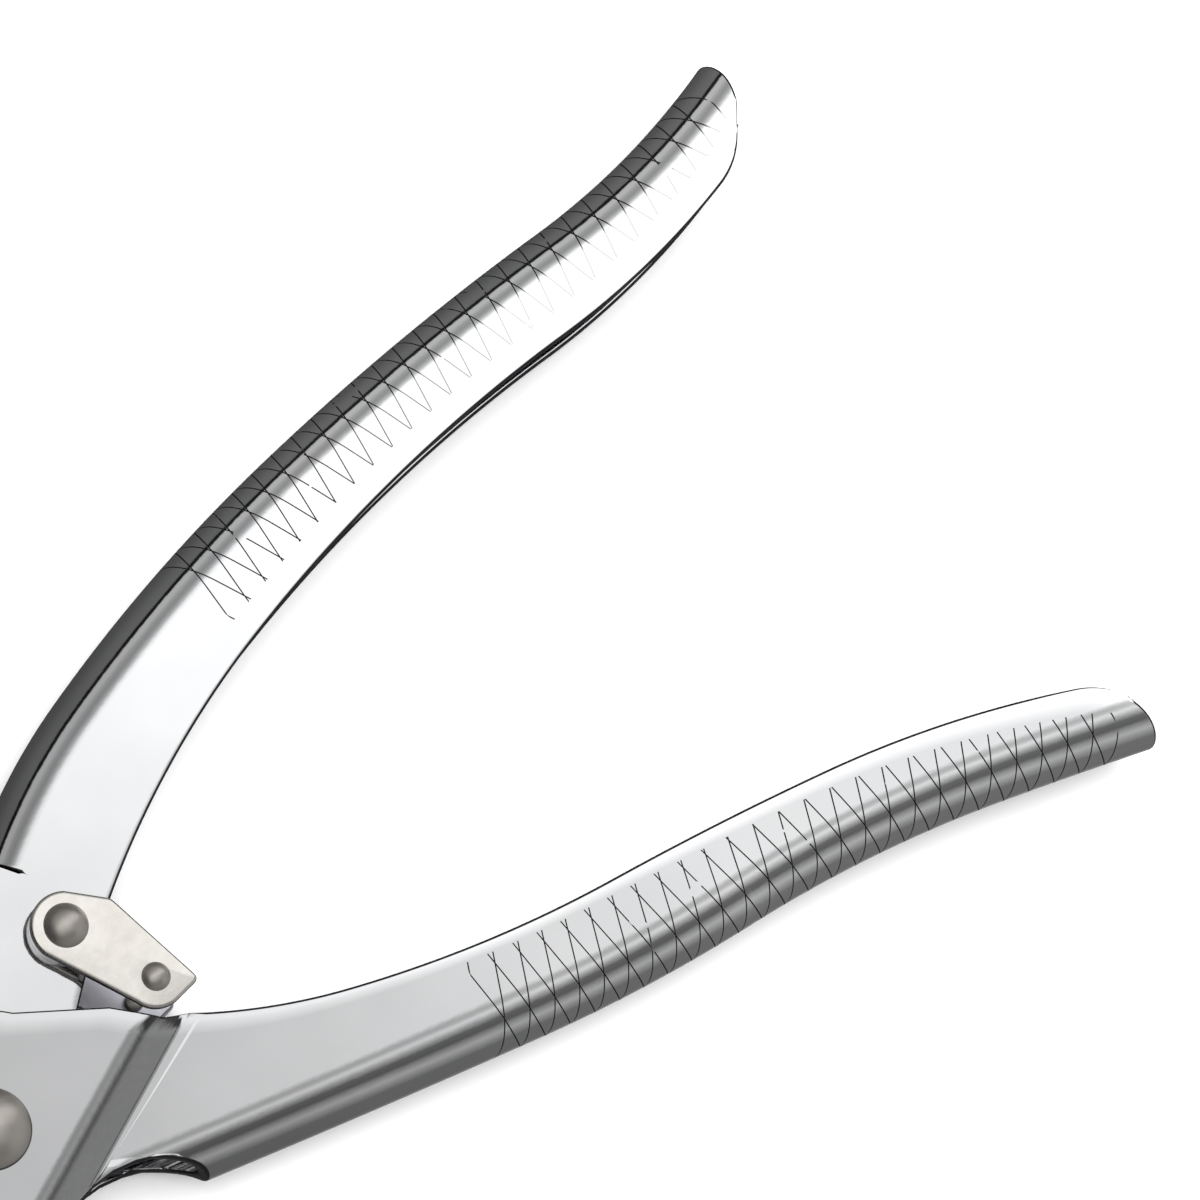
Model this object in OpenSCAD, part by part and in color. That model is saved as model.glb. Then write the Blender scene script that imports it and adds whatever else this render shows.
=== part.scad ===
// Lever nutcracker: two pressed sheet channels crossing at a rivet, toothed jaw inserts,
// an opening spring and a swinging catch. The tool lies flat on the disc of its main rivet,
// whose axis is the Z axis; the grips run along +X and the jaws along -X, with the grips open.

/* [Sheet] */
// Thickness of the pressed sheet
sheet = 1.5; // [1.2:0.1:1.8]
// Outside width of a handle channel, measured along the pivot
channel_w = 12; // [10:0.5:15]
// Side gap between the two handles where they cross
cross_gap = 0.15; // [0.1:0.05:0.4]

/* [Grips] */
// Straight lead of the outer handle's back, from the arch to the grip
outer_lead = 61; // [55:1:66]
// Middle stretch of both grips
grip_mid = 42; // [36:1:50]
// Outward flare at the end of both grips
grip_flare = 34; // [29:1:38]
// Direction of the inner handle's back where it leaves the pivot, in degrees
inner_heading = 40; // [36:1:43]
// Length of the straight back edge from the pivot boss to the inner channel
inner_root = 25.5; // [22:0.5:30]

/* [Pivot] */
// Radius of the round boss of the inner handle
inner_boss_r = 9.2; // [8.8:0.1:9.3]
// Radius of the round boss of the outer handle
outer_boss_r = 14.2; // [13.8:0.1:17]
// Radius of the main rivet's shank
pivot_r = 3.5; // [2.9:0.1:4.2]
// Radius of the main rivet's heads
pivot_head_r = 5; // [4.8:0.1:6.2]
// Height of the main rivet's front dome
pivot_dome_h = 2.4; // [1.6:0.1:3]
// Thickness of the washer under the rear head
pivot_washer_t = 0.8; // [0.5:0.1:1.2]
// Least thickness of the rear head's flat disc
pivot_tail_t = 2; // [1.4:0.1:2.4]
// Outside radius of the spacer tube inside the inner handle
spacer_tube_r = 4.9; // [4.7:0.1:5.2]
// Radial running clearance of pins in their holes
run_gap = 0.05; // [0.02:0.01:0.1]

/* [Joggle] */
// Distance of the joggle's lower bend from the pivot axis
joggle_far = 13.7; // [13.4:0.1:14.2]
// Width of the joggle's ramp
joggle_w = 4.2; // [3.6:0.1:4.2]
// Direction of the joggle's bend lines, in degrees
joggle_dir = 25.2; // [24:0.2:27]

/* [Jaws] */
// How far the handles close, in degrees
close_angle = 15; // [12:0.5:16]
// Direction of the parting line above -X, on the outer jaw, in degrees
parting = 6; // [3:0.5:10]
// Distance of the nut space's centre from the pivot
nut_u = 31; // [30:0.5:36]
// How far the nut space's centre lies beyond the parting line
nut_v = 1; // [0:0.5:3]
// Radius of the nut space at the tooth crests
nut_r = 14; // [12:0.5:14.5]
// Depth of the teeth
tooth_h = 1.2; // [0.6:0.1:1.6]
// Angle between two teeth
tooth_pitch = 9; // [6:1:15]
// Thickness of an insert behind the tooth roots
insert_back = 5.2; // [4.8:0.1:7]
// Length of the flat nose past the nut space
nose = 9; // [7:0.5:12]
// Side and back clearance of an insert in its channel
insert_gap = 0.05; // [0.02:0.01:0.2]
// Gap left between the two noses when closed
nose_gap = 0.3; // [0.2:0.1:1]
// Radius of the channel's corners around a jaw
jaw_corner = 2.5; // [1.8:0.1:2.6]
// Radius of a jaw rivet's shank
jaw_rivet_r = 1.2; // [0.9:0.1:1.4]
// Radius of a jaw rivet's head
jaw_rivet_head_r = 1.8; // [1.5:0.1:2]

/* [Opening spring] */
// Clearance between the spring's legs and the channels they bear in
leg_gap = 0.15; // [0.1:0.05:0.4]
// Radius of the spring wire
wire_r = 0.8; // [0.6:0.1:0.85]
// Radius of the coil at the middle of the wire
coil_r = 6.3; // [6.2:0.1:6.6]
// Reach of a spring leg from the pivot
leg_reach = 50; // [40:1:52]
// Radius of the pin that stops the opening
stop_r = 2; // [1.5:0.1:2.5]
// Lever arm of that pin along the inner handle's back edge
stop_arm = 8; // [6:0.5:10]

/* [Catch] */
// Distance of the catch's pivot from the main pivot
catch_reach = 25.7; // [25:0.1:26.5]
// Direction of the catch's pivot, in degrees
catch_dir = 33.9; // [32:0.1:35]
// Distance between the catch plate's two rivets
catch_arm = 12.15; // [11.8:0.05:12.3]
// Direction of the catch plate, in degrees
catch_lean = -64.9; // [-66:0.1:-64]
// Thickness of a catch plate
plate_t = 1.5; // [1:0.1:2]
// Height of the spacers that carry the plates
plate_lift = 1.8; // [1.75:0.05:2.5]
// Radius of the catch pivot's shank
catch_pin_r = 2; // [1.6:0.1:2.2]
// Radius of the catch pivot's domes
catch_dome_r = 2.7; // [2.5:0.1:3.2]
// Radius of the dome of a catch stud
stud_dome_r = 1.75; // [1.5:0.05:2]
// Radius of a catch stud's inner end
stud_r = 1.15; // [0.9:0.05:1.15]
// Height of the stud's inner end above the recessed wall
stud_lift = 0.7; // [0.65:0.05:0.8]

/* [Hidden] */
$fn = 64;
half_w = channel_w / 2;
half_in = half_w - sheet;
cheek_in = half_w + cross_gap;
cheek_out = cheek_in + sheet;
plate_z = half_w + plate_lift;
plate_top = plate_z + plate_t;
rear_head_h = 0.8;
// Height of the tool's middle plane above the face it rests on
mid_z = max(cheek_out + pivot_washer_t + pivot_tail_t, plate_top + rear_head_h + 0.1);
root_r = nut_r + tooth_h;
back_r = root_r + insert_back;
jaw_r = back_r + sheet;
jaw_edge_r = root_r + 0.8;
nut_c = [nut_u, -nut_v];
nose_u = nut_u + nut_r + nose;
nose_h = 3.5;
part_v = nose_gap / 2;
heel_u = inner_boss_r + 1.8;
jaw_from = 10;
jaw_to = 148;
jaw_rivet_at = [35, 122];
jaw_rivet_ring = (root_r + jaw_r - jaw_corner + 1.4) / 2;
catch_pos = catch_reach * [cos(catch_dir), sin(catch_dir)];
stud_pos = catch_pos + catch_arm * [cos(catch_lean), sin(catch_lean)];
back_dir = [cos(inner_heading), sin(inner_heading)];
back_out = [-sin(inner_heading), cos(inner_heading)];
inner_start = inner_boss_r * back_out + inner_root * back_dir;
stop_pos = (inner_boss_r + stop_r + 0.1) * back_out + stop_arm * back_dir;
coil_rise = 2 * wire_r + 0.25;
coil_z = wire_r + 0.3 - half_in;
ring_deg = 20;
coil_turns = 4;
spacer_r = 4;

// Chains of tangent arcs, each [length, turn in degrees], left turns positive
inner_spine = [[28, -20.5], [40, -10.7], [grip_mid + 3, -7.3], [grip_flare - 3.5, 18]];
inner_edge_start = [17.4, 5.7];
inner_edge_heading = 41.2;
inner_edge = [[20, -10.2], [30, -14.1], [grip_mid + 13, -15.4], [grip_flare - 6, 15], [8, 44]];
outer_spine_start = [2.7, -15.5];
outer_spine_heading = -13.3;
outer_spine = [[outer_lead, 2], [grip_mid - 12, 8], [grip_flare + 1, -11.5], [20.6, -1.8]];
outer_edge_start = [27.6, -2.0];
outer_edge_heading = -33.4;
outer_edge = [[20, 14.7], [35, 12.3], [grip_mid - 12, -3.8], [grip_flare - 1, -13.1], [6.6, -37.7]];
// Where each channel's rolled back starts along its spine: at the back line, and at the flat wall
inner_back_from = [6, 6];
outer_back_from = [16.8, 10.8];
// How far the rolled back stops short of the spine's end where it meets the flat wall
inner_tip_pull = 2.6;
outer_tip_pull = 2.4;
inner_edge_from = 12;
outer_edge_from = 0.5;
// The flat walls near the pivot lie this much inside the faces of the channel they run into
lap = 0.1;
// How far the outer wall's corner lies from the edge of its channel
edge_in = 0.4;
arch_c = [8.2, -20.3];
arch_size = [10.9, 7.9];
cheek_top = [[25, -1], [23, 0.9], [20.2, 3.65], [9, 10.4]];

// ---- paths made of tangent arcs ----
function arc_end(p, h, len, turn) = turn == 0 ? p + len * [cos(h), sin(h)] :
    p + len * 180 / (PI * turn) * [sin(h + turn) - sin(h), cos(h) - cos(h + turn)];
// The point and direction at distance s along a chain
function at(p, h, arcs, s, i = 0) = let (len = arcs[i][0], turn = arcs[i][1])
    i == len(arcs) - 1 || s <= len ? [arc_end(p, h, s, turn * s / len), h + turn * s / len] :
    at(arc_end(p, h, len, turn), h + turn, arcs, s - len, i + 1);
function total(arcs, i = 0) = i == len(arcs) ? 0 : arcs[i][0] + total(arcs, i + 1);
function reverse(v) = [for (i = [len(v) - 1:-1:0]) v[i]];
function right(q, d) = q[0] + d * [sin(q[1]), -cos(q[1])];
function polar(r, a) = r * [cos(a), sin(a)];
function ring(c, r, a0, a1, n) = [for (i = [0:n]) c + polar(r, a0 + (a1 - a0) * i / n)];
// The rounded corner at q between p and s
function corner(p, q, s, r) = let (u = (p - q) / norm(p - q), w = (s - q) / norm(s - q),
    half = acos(u * w) / 2, c = q + (u + w) / norm(u + w) * r / sin(half),
    from = q + u * r / tan(half) - c, to = q + w * r / tan(half) - c,
    a0 = atan2(from[1], from[0]), a1 = atan2(to[1], to[0]))
    ring(c, r, a0, a0 + (a1 - a0 + 900) % 360 - 180, 6);

// ---- handle channels ----
// A pressed channel with a half-round back. Depth d runs from the spine towards the open side;
// side is 1 when the open side is on the spine's right, -1 on its left. from gives where the
// rolled back starts at depth 0 and at the flat wall; the wall's edge follows its own chain.
module channel(p, h, spine, side, from, pull, edge_p, edge_h, edge, edge_from) {
    rows = 40;
    bends = 6;
    long = total(spine);
    edge_long = total(edge);
    function starts(d) = from[0] + (from[1] - from[0]) * pow(d / half_w, 2);
    function ends(d) = long - pull * pow(d / half_w, 2);
    function on_back(f, d) = right(at(p, h, spine, starts(d) + (ends(d) - starts(d)) * f), side * d);
    function on_edge(f) = at(edge_p, edge_h, edge, edge_from + (edge_long - edge_from) * f)[0];
    function row(f) = concat(
        [concat(on_edge(f), half_w)],
        [for (k = [bends:-1:-bends]) let (a = 90 * k / bends)
            concat(on_back(f, half_w * (1 - cos(a))), half_w * sin(a))],
        [concat(on_edge(f), -half_w), concat(on_edge(f), -half_in)],
        [for (k = [-bends:bends]) let (a = 90 * k / bends)
            concat(on_back(f, half_w - half_in * cos(a)), half_in * sin(a))],
        [concat(on_edge(f), half_in)]);
    pts = [for (i = [0:rows]) each row(i / rows)];
    n = 4 * bends + 6;
    skin = [for (i = [0:rows - 1], k = [0:n - 1]) let (m = (k + 1) % n, b = i * n)
        each [[b + k, b + n + k, b + n + m], [b + k, b + n + m, b + m]]];
    // End faces: strips between the outer and the inner line of the section
    cap = [for (k = [0:n / 2 - 2]) each [[k, k + 1, n - 2 - k], [k, n - 2 - k, n - 1 - k]]];
    first = cap;
    last = [for (t = cap) [t[2] + rows * n, t[1] + rows * n, t[0] + rows * n]];
    faces = concat(skin, first, last);
    polyhedron(pts, side < 0 ? faces : [for (t = faces) [t[2], t[1], t[0]]]);
}

// Flat wall of the inner handle between the pivot boss and its channel
module inner_root_side() {
    heel = [[inner_back_from[1] + 3, half_w + 2], [inner_back_from[1] + 3, half_w - 0.7],
        [inner_back_from[1] + 0.2, half_w - 0.7], [inner_back_from[0] + 0.2, 0]];
    polygon(concat([polar(inner_boss_r, -41.7)],
        [for (d = [0:4:12]) at(inner_edge_start, inner_edge_heading, inner_edge, d)[0]],
        [right(at(inner_edge_start, inner_edge_heading, inner_edge, inner_edge_from + 1.5), -1),
            right(at(inner_start, inner_heading, inner_spine, 12), half_w + 3)],
        [for (q = heel) right(at(inner_start, inner_heading, inner_spine, q[0]), q[1])],
        [inner_start, inner_boss_r * back_out, [0, 0]]));
}
// Flat wall of the outer handle from the arch over the pivot
module outer_root_side() {
    polygon(concat([right(at(outer_edge_start, outer_edge_heading, outer_edge, 1.5), edge_in),
        right(at(outer_spine_start, outer_spine_heading, outer_spine, 16.5), -half_w - 2.4),
        right(at(outer_spine_start, outer_spine_heading, outer_spine, 13), -half_w - 0.3)],
        [for (a = [20:-10:0]) arch_c + [arch_size[0] * sin(a), arch_size[1] * cos(a)]],
        [[4.4, -13.1], polar(outer_boss_r, -90), [-5, 0], stop_pos], reverse(cheek_top)));
}

// Raises the tool, drawn about its middle plane, onto the face it rests on
module lift() {
    translate([0, 0, mid_z]) children();
}
// Places a jaw drawn as u along the parting line and v towards its back
module on_outer() {
    rotate([0, 0, -parting]) mirror([1, 0, 0]) children();
}
module on_inner() {
    rotate([0, 0, close_angle - parting]) mirror([1, 0, 0]) mirror([0, 1, 0]) children();
}
module jaw_root(boss, rise) {
    polygon(concat([[1, 2 * part_v]],
        ring(nut_c + [-lap, lap], jaw_edge_r, 174, jaw_to - 5, 4),
        [nut_c + polar(jaw_r - jaw_corner, jaw_to - 5), nut_c + polar(jaw_r - 0.2, jaw_to)],
        [[boss * 0.55, boss * rise], [0, boss * 0.98], [0, 0]]));
}
// Pressed channel round the nut space, open towards the nut
module jaw_channel(out_z, in_z) {
    translate(nut_c) rotate([0, 0, jaw_from]) rotate_extrude(angle = jaw_to - jaw_from)
        difference() {
            union() {
                translate([jaw_edge_r, -out_z])
                    square([jaw_r - jaw_corner - jaw_edge_r, 2 * out_z]);
                translate([jaw_edge_r, jaw_corner - out_z])
                    square([jaw_r - jaw_edge_r, 2 * (out_z - jaw_corner)]);
                for (s = [-1, 1]) translate([jaw_r - jaw_corner, s * (out_z - jaw_corner)])
                    circle(jaw_corner);
            }
            translate([jaw_edge_r - 1, -in_z]) square([back_r - jaw_edge_r + 1, 2 * in_z]);
        }
}
module jaw_insert(half) {
    teeth = [for (a = [8:tooth_pitch / 2:172]) a];
    linear_extrude(2 * half, center = true)
        polygon(concat([[heel_u, part_v], [heel_u, 6]],
            ring(nut_c, back_r - insert_gap, jaw_to, jaw_from - 1, 23),
            [nut_c + polar(jaw_r, jaw_from - 1)], [[nose_u, nose_h], [nose_u, part_v], [nut_u + nut_r + 0.2, part_v]],
            [for (i = [0:len(teeth) - 1]) nut_c + (i % 2 == 0 ? nut_r : root_r) *
                [cos(teeth[i]), sin(teeth[i])]],
            [[nut_u - nut_r - 0.2, part_v]]));
}
module at_jaw_rivets() {
    for (a = jaw_rivet_at) translate(nut_c + jaw_rivet_ring * [cos(a), sin(a)]) children();
}

// ---- small round pieces ----
module dome(r, h) {
    ball = (r * r + h * h) / (2 * h);
    rotate_extrude() intersection() {
        translate([0, h - ball]) circle(ball);
        square([r, h]);
    }
}
module pin(r, z0, z1) {
    translate([0, 0, z0]) cylinder(h = z1 - z0, r = r);
}
module tube(r_out, r_in, z0, z1) {
    translate([0, 0, z0]) difference() {
        cylinder(h = z1 - z0, r = r_out);
        translate([0, 0, -1]) cylinder(h = z1 - z0 + 2, r = r_in);
    }
}
module jaw_rivets(half) {
    at_jaw_rivets() {
        pin(jaw_rivet_r, -half - 0.2, half + 0.2);
        for (s = [0, 1]) mirror([0, 0, s]) translate([0, 0, half]) dome(jaw_rivet_head_r, 0.8);
    }
}

// ---- handles ----
// Both walls of the outer handle near the pivot, with the joggle's ramp, as one bent plate each
module outer_walls() {
    near = -joggle_far + joggle_w;
    for (s = [0, 1]) mirror([0, 0, s])
        rotate([0, 0, joggle_dir]) translate([-90, 0, 0]) rotate([90, 0, 90]) linear_extrude(160)
            polygon([[-40, half_in + lap], [-joggle_far, half_in + lap],
                [near, cheek_in], [60, cheek_in],
                [60, cheek_out], [near, cheek_out], [-joggle_far, half_w - lap], [-40, half_w - lap]]);
}
module plate(low, high) {
    for (s = [0, 1]) mirror([0, 0, s]) translate([0, 0, low]) linear_extrude(high - low) children();
}
module outer_handle() {
    color("gainsboro") lift() difference() {
        union() {
            intersection() {
                outer_walls();
                union() {
                    translate([0, 0, -20]) linear_extrude(40) outer_root_side();
                    pin(outer_boss_r, -20, 20);
                    translate(stop_pos) pin(stop_r + 2.5, -20, 20);
                }
            }
            plate(cheek_in + lap, cheek_out - lap) on_outer() jaw_root(outer_boss_r, 0.92);
            channel(outer_spine_start, outer_spine_heading, outer_spine, -1, outer_back_from,
                outer_tip_pull, outer_edge_start, outer_edge_heading, outer_edge, outer_edge_from);
            on_outer() jaw_channel(cheek_out, cheek_in);
        }
        pin(pivot_r, -20, 20);
        translate(stop_pos) pin(stop_r, -20, 20);
        on_outer() at_jaw_rivets() pin(jaw_rivet_r, -20, 20);
    }
}
module inner_handle() {
    color("whitesmoke") lift() difference() {
        union() {
            channel(inner_start, inner_heading, inner_spine, 1, inner_back_from,
                inner_tip_pull, inner_edge_start, inner_edge_heading, inner_edge, inner_edge_from);
            plate(half_in + lap, half_w - lap) inner_root_side();
            plate(half_in, half_w) circle(inner_boss_r);
            plate(half_in + lap, half_w - lap) on_inner() jaw_root(inner_boss_r, 0.88);
            on_inner() jaw_channel(half_w, half_in);
        }
        pin(pivot_r + run_gap, -20, 20);
        translate(catch_pos) pin(catch_pin_r + run_gap, -20, 20);
        on_inner() at_jaw_rivets() pin(jaw_rivet_r, -20, 20);
    }
}

// ---- jaws ----
module outer_jaw_insert() {
    color("darkgray") lift() on_outer() difference() {
        jaw_insert(cheek_in - insert_gap);
        at_jaw_rivets() pin(jaw_rivet_r, -20, 20);
    }
}
module inner_jaw_insert() {
    color("darkgray") lift() on_inner() difference() {
        jaw_insert(half_in - insert_gap);
        at_jaw_rivets() pin(jaw_rivet_r, -20, 20);
    }
}
module outer_jaw_rivets() {
    color("silver") lift() on_outer() jaw_rivets(cheek_out);
}
module inner_jaw_rivets() {
    color("silver") lift() on_inner() jaw_rivets(half_w);
}

// ---- main pivot ----
module main_pivot_rivet() {
    disc_z = cheek_out + pivot_washer_t;
    color("tan") lift() union() {
        pin(pivot_r, -disc_z - 0.5, cheek_out + 0.5);
        translate([0, 0, cheek_out]) dome(pivot_head_r, pivot_dome_h);
        pin(pivot_head_r, -mid_z, -disc_z);
    }
}
module pivot_washer() {
    color("silver") lift() tube(pivot_head_r + 1.5, pivot_r, -cheek_out - pivot_washer_t, -cheek_out);
}
module pivot_spacer_tube() {
    color("silver") lift() tube(spacer_tube_r, pivot_r + run_gap, -half_in, half_in);
}
module opening_stop_pin() {
    color("silver") lift() translate(stop_pos) {
        pin(stop_r, -cheek_out - 0.2, cheek_out + 0.2);
        for (s = [0, 1]) mirror([0, 0, s]) translate([0, 0, cheek_out]) dome(stop_r + 0.8, 0.9);
    }
}

// ---- opening spring ----
// Round wire along a path of [point, direction] pairs whose directions lie in the XY plane
module wire(path) {
    sides = 8;
    n = len(path);
    pts = [for (q = path, k = [0:sides - 1]) let (a = 360 * k / sides)
        q[0] + wire_r * [q[1][1] * cos(a), -q[1][0] * cos(a), sin(a)]];
    polyhedron(pts, concat([[for (k = [sides - 1:-1:0]) k]],
        [[for (k = [0:sides - 1]) (n - 1) * sides + k]],
        [for (i = [0:n - 2], k = [0:sides - 1]) let (m = (k + 1) % sides)
            [i * sides + k, i * sides + m, (i + 1) * sides + m, (i + 1) * sides + k]]));
}
function coil_level(a) = coil_z + coil_rise * (a - coil_from) / 360;
function on_coil(a) = [concat(polar(coil_r, a), coil_level(a)), [-sin(a), cos(a)]];
function coil(a0, a1) = let (n = ceil((a1 - a0) / ring_deg))
    [for (i = [0:n]) on_coil(a0 + (a1 - a0) * i / n)];
// The depth in a channel at which the wire, z off the middle plane, clears the rolled back
function leg_depth(z) = half_w - sqrt(max(0, pow(half_in - wire_r - leg_gap, 2) - z * z));
// Where the legs end, inside the two channels, and the angles at which they leave the coil
inner_leg_end = right(at(inner_start, inner_heading, inner_spine, leg_reach - inner_root),
    leg_depth(coil_z));
outer_leg_end = right(at(outer_spine_start, outer_spine_heading, outer_spine, leg_reach),
    -leg_depth(coil_z + coil_rise * (coil_turns - 0.65)));
function leaves(p, way) = atan2(p[1], p[0]) - way * acos(coil_r / norm(p));
// The coil climbs from the inner leg to the outer one; it is split half a turn after the inner leg
coil_from = leaves(inner_leg_end, -1);
coil_split = coil_from + 180;
coil_to = leaves(outer_leg_end, 1) + 360 * coil_turns;

module return_spring() {
    color("dimgray") lift() wire(concat(coil(coil_split + 4, coil_to),
        [[concat(outer_leg_end, coil_level(coil_to)), on_coil(coil_to)[1]]]));
}
module spring_inner_leg() {
    color("dimgray") lift() wire(concat([[concat(inner_leg_end, coil_z), on_coil(coil_from)[1]]],
        coil(coil_from, coil_split)));
}

// ---- catch ----
// A catch plate: round about its pivot, tapering to the stud end, with a pointed thumb corner
module latch_plate() {
    big = 4.2;
    small = 3.75;
    thumb = [catch_arm + 4.6, 2.5];
    shoulder = [3, 5.6];
    end = [catch_arm, 0] + polar(small, -20);
    translate([0, 0, plate_z]) difference() {
        linear_extrude(plate_t) polygon(concat(
            ring([0, 0], big, 122, 264, 12), ring([catch_arm, 0], small, -96, -20, 8),
            corner(end, thumb, shoulder, 0.5), corner(thumb, shoulder, polar(big, 122), 1.8)));
        pin(catch_pin_r, -1, 20);
        translate([catch_arm, 0, 0]) pin(stud_r, -1, 20);
    }
}
module at_catch() {
    translate(catch_pos) rotate(catch_lean) children();
}
module rear() {
    mirror([0, 0, 1]) children();
}
module latch_front_plate() {
    color("linen") lift() at_catch() latch_plate();
}
module latch_rear_plate() {
    color("linen") lift() rear() at_catch() latch_plate();
}
module latch_pivot_rivet() {
    color("tan") lift() at_catch() union() {
        pin(catch_pin_r, -plate_top - 0.2, plate_top + 0.5);
        translate([0, 0, plate_top]) dome(catch_dome_r, 1.7);
        rear() translate([0, 0, plate_top]) dome(catch_dome_r, rear_head_h);
    }
}
module latch_spacer() {
    tube(spacer_r, catch_pin_r, half_w + run_gap, plate_z);
}
module latch_front_spacer() {
    color("silver") lift() at_catch() latch_spacer();
}
module latch_rear_spacer() {
    color("silver") lift() rear() at_catch() latch_spacer();
}
module latch_pivot_tube() {
    color("silver") lift() at_catch() tube(catch_pin_r + 1.2, catch_pin_r + run_gap, -half_in, half_in);
}
// The stud hooks behind the joggle's ramp when the handles are closed
module latch_catch(head_h) {
    translate(stud_pos) {
        pin(stud_r, half_w + stud_lift, plate_top + 0.2);
        translate([0, 0, plate_top]) dome(stud_dome_r, head_h);
    }
}
module latch_front_catch() {
    color("tan") lift() latch_catch(1.1);
}
module latch_rear_catch() {
    color("tan") lift() rear() latch_catch(rear_head_h);
}

outer_handle();
inner_handle();
outer_jaw_insert();
inner_jaw_insert();
outer_jaw_rivets();
inner_jaw_rivets();
main_pivot_rivet();
pivot_washer();
pivot_spacer_tube();
return_spring();
spring_inner_leg();
opening_stop_pin();
latch_front_plate();
latch_rear_plate();
latch_pivot_rivet();
latch_front_spacer();
latch_rear_spacer();
latch_pivot_tube();
latch_front_catch();
latch_rear_catch();
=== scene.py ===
"""Looks for a lever nutcracker: two pressed, plated channel handles with scored grips, domed
rivets, a satin catch plate on each face, toothed jaws and an opening spring.

Shapes are worked out in millimetres about the tool's middle plane, and lifted and scaled to
metres when their mesh is made. The main pivot is the Z axis."""
import math

import bmesh
import bpy
import numpy as np
from mathutils import Matrix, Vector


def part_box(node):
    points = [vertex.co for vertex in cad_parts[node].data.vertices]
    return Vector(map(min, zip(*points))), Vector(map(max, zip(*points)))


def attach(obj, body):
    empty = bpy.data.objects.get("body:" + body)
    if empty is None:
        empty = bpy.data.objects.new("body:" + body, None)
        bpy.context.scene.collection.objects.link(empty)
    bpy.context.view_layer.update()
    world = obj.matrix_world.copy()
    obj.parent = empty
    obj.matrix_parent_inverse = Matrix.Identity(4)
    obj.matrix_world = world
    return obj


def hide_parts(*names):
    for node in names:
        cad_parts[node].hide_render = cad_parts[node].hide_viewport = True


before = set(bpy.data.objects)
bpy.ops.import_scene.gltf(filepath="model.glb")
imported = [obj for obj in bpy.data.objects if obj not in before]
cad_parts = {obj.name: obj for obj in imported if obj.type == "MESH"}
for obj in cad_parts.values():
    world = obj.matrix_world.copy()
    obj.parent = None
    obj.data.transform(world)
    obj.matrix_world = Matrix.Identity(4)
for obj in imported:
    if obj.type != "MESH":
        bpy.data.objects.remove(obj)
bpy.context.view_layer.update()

# ---- sizes, as in the part's source ----
MM = 0.001
SHEET = 1.5
HALF_W = 6.0
HALF_IN = HALF_W - SHEET
CHEEK_OUT = 7.65
OUTER_BOSS, INNER_BOSS = 14.2, 9.2
JOGGLE_FAR, JOGGLE_W, JOGGLE_DIR = 13.7, 4.2, 25.2
NUT_C = np.array([31.0, -1.0])
JAW_R, JAW_EDGE_R, JAW_CORNER = 21.9, 16.0, 2.5
JAW_FROM, JAW_TO, JAW_THROAT = 10.0, 148.0, 174.0
JAW_NECK_R = JAW_R - 0.2
PARTING, CLOSE_ANGLE = 6.0, 15.0
ARCH_C, ARCH_SIZE = np.array([8.2, -20.3]), np.array([10.9, 7.9])
MAIN_R, MAIN_DISC_R, MAIN_DISC_TOP = 3.5, 5.0, -8.45
MAIN_SHANK_TOP, MAIN_DOME_R, MAIN_DOME_H = 7.4, 5.0, 2.4
PLATE_Z, PLATE_TOP, PLATE_EDGE = 7.8, 9.3, 0.45
CATCH_REACH, CATCH_DIR, CATCH_ARM, CATCH_LEAN = 25.7, 33.9, 12.15, -64.9
CATCH_BIG_R, CATCH_SMALL_R = 4.2, 3.75
CATCH_PIN_R, CATCH_DOME_R, CATCH_DOME_H = 2.0, 2.7, 1.7
STUD_R, STUD_CHAMFER, STUD_FOOT, STUD_DOME_R, STUD_DOME_H = 1.15, 0.15, 6.7, 1.75, 1.1
REAR_HEAD_H = 0.8
HEAD_SINK = 0.05

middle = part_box("pivot_spacer_tube")
MID_Z = (middle[0].z + middle[1].z) / 2 / MM

# A chain of arcs is a start, a heading and the length and turn of each arc. "side" is the side
# of the spine that the channel lies on, "back_from" where the roll begins on the spine and on the
# flat wall, "tip_pull" how much shorter the flat wall ends, "web" points of the arch's web as
# their x and height, and "scored" where the scoring begins and ends on the spine.
OUTER = {
    "spine": ((2.7, -15.5), -13.3, [(61, 2), (30, 8), (35, -11.5), (20.6, -1.8)]),
    "lip": ((27.6, -2.0), -33.4,
            [(20, 14.7), (35, 12.3), (30, -3.8), (33, -13.1), (6.6, -37.7)]),
    "side": -1, "back_from": (16.8, 6.0), "tip_pull": 2.4,
    "web": [(9.4, 6), (12.3, 5.9)], "scored": (55.0, 141.5)}
INNER_HEADING, INNER_ROOT = 40.0, 25.5
NECK_LIP = (17.4, 5.7)
BACK_DIR = np.array([math.cos(math.radians(INNER_HEADING)),
                     math.sin(math.radians(INNER_HEADING))])
BACK_OUT = np.array([-BACK_DIR[1], BACK_DIR[0]])
INNER = {
    "spine": (tuple(INNER_BOSS * BACK_OUT + INNER_ROOT * BACK_DIR), INNER_HEADING,
              [(28, -20.5), (40, -10.7), (45, -7.3), (30.5, 18)]),
    "lip": (NECK_LIP, 41.2, [(20, -10.2), (30, -14.1), (55, -15.4), (28, 15), (8, 44)]),
    "side": 1, "back_from": (6.0, 6.0), "tip_pull": 2.6, "scored": (49.0, 139.0)}


# ---- lines in the plane of the tool ----
def polar(r, degrees):
    """Points at distance r from the origin in the given directions."""
    a = np.radians(degrees)
    return np.stack([r * np.cos(a), r * np.sin(a)], -1)


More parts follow.
